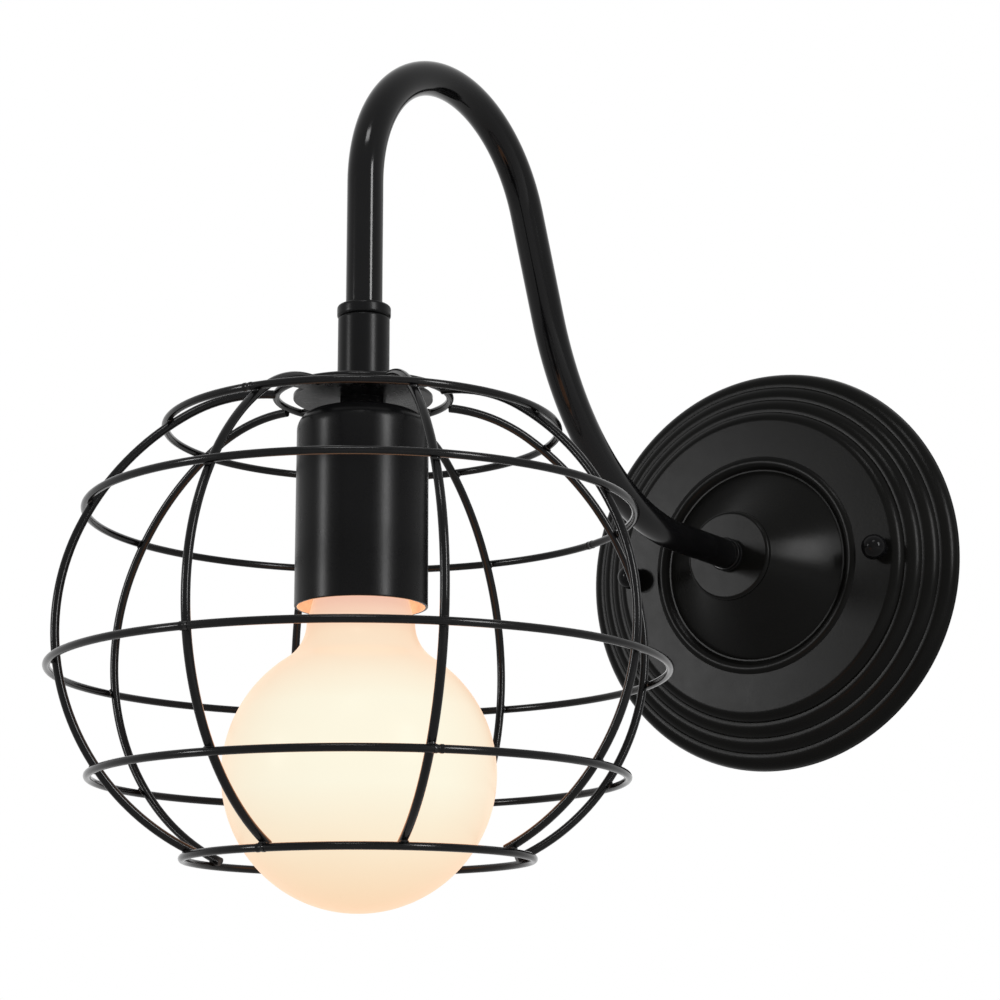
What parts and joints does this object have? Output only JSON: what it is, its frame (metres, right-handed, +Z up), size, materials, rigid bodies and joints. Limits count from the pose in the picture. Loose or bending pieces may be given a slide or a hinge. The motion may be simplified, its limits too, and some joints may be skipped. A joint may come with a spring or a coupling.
{
  "type": "cage wall light",
  "caption": "Swan-neck wall light with a ridged round wall plate, socket cup and spherical wire cage round a globe bulb.",
  "frame": {"origin": "centre of the mounting bar's back face, on the wall, behind the wall plate's centre", "axes": "+Z up, +Y into the wall, so the light stands out along -Y; X across the wall"},
  "size_m": [0.198, 0.3933, 0.2976],
  "materials": {
    "black_steel": "satin black powder coat on steel",
    "black_nickel": "gloss black plated",
    "zinc_steel": "zinc plated",
    "brass": "plain turned brass",
    "porcelain": "glazed white porcelain",
    "bulb_metal": "rolled aluminium",
    "opal_glass": "opal white, warm when lit",
    "clear_glass": "clear",
    "base_glass": "black glass insulator",
    "tungsten": "dull drawn wire",
    "terminal_body": "moulded, pale",
    "live_insulation": "brown sheath",
    "neutral_insulation": "blue sheath",
    "earth_insulation": "green sheath"
  },
  "bodies": {
    "fixture": {"arm_sleeve": "black_steel", "arm_tube": "black_steel", "cage_lock_nut": "black_steel", "cage_plate": "black_steel", "cage_rib_1": "black_steel", "cage_rib_2": "black_steel", "cage_rib_3": "black_steel", "cage_rib_4": "black_steel", "cage_rib_5": "black_steel", "cage_rib_6": "black_steel", "cage_rib_7": "black_steel", "cage_rib_8": "black_steel", "cage_ring_belt": "black_steel", "cage_ring_crown": "black_steel", "cage_ring_foot": "black_steel", "cage_ring_shoulder": "black_steel", "cage_ring_top": "black_steel", "cage_ring_waist": "black_steel", "canopy_studs": "zinc_steel", "centre_contact": "brass", "cup_inner_nut": "zinc_steel", "earth_lead": "earth_insulation", "earth_screw": "zinc_steel", "earth_tag": "brass", "head_nipple": "zinc_steel", "holder_terminals": "brass", "lampholder_barrel": "porcelain", "lampholder_cap": "porcelain", "lampholder_insert": "porcelain", "lead_live": "live_insulation", "lead_neutral": "neutral_insulation", "mounting_bar": "zinc_steel", "root_collar": "black_steel", "root_lock_washer": "zinc_steel", "root_nipple": "zinc_steel", "root_nut": "zinc_steel", "screw_shell": "brass", "sleeve_cap": "black_steel", "sleeve_washer": "black_steel", "socket_cup": "black_steel", "terminal_block": "terminal_body", "terminal_inserts": "brass", "terminal_screws": "zinc_steel", "wall_plate": "black_steel"},
    "bulb_core": {"bulb_insulator": "base_glass", "bulb_contact": "brass"},
    "bulb": {"bulb_glass": "opal_glass", "bulb_shell": "bulb_metal", "bulb_stem": "clear_glass", "bulb_filament": "tungsten"},
    "cap_nut_right": {"cap_nut_right": "black_nickel"},
    "cap_nut_left": {"cap_nut_left": "black_nickel"}
  },
  "joints": [
    {"name": "bulb_drop", "type": "slide", "parent": "fixture", "child": "bulb_core", "axis": [0, 0, -1], "range_m": [0, 0.0218]},
    {"name": "bulb_turn", "type": "hinge", "parent": "bulb_core", "child": "bulb", "pos_m": [0, -0.2943, -0.03], "axis": [0, 0, -1], "range_deg": [0, 2160]},
    {"name": "cap_nut_right_turn", "type": "hinge", "parent": "fixture", "child": "cap_nut_right", "pos_m": [0.057, -0.0152, 0], "axis": [0, -1, 0], "continuous": true},
    {"name": "cap_nut_left_turn", "type": "hinge", "parent": "fixture", "child": "cap_nut_left", "pos_m": [-0.057, -0.0152, 0], "axis": [0, -1, 0], "continuous": true}
  ],
  "couplings": [
    {"joint": "bulb_drop", "follows": "bulb_turn", "m_per_rad": 0.0005775}
  ]
}
